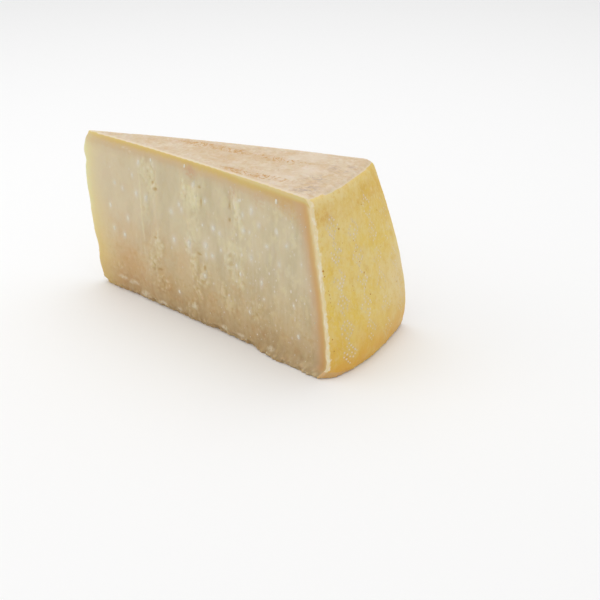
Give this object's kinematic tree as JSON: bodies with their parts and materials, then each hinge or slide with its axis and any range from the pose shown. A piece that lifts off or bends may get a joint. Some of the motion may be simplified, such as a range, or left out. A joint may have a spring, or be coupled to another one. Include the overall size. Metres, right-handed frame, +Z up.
{
  "type": "parmesan wedge",
  "caption": "Tall wedge of aged hard cheese: rough crystal-flecked cuts meet at a blunt tip, opposite a bulging golden rind, under the wheel's flat pale top.",
  "frame": {"origin": "middle of the bounding box's base, on the surface the wedge stands on", "axes": "+X along the wedge from the tip to the rind, +Y across it from the front cut to the back cut, +Z up"},
  "size_m": [0.2254, 0.088, 0.1153],
  "materials": {
    "hard_cheese": "waxy pale straw paste with a dry golden rind; matte_plastic stands in for cheese"
  },
  "bodies": {
    "root": {"cheese_wedge": "hard_cheese"}
  },
  "joints": []
}
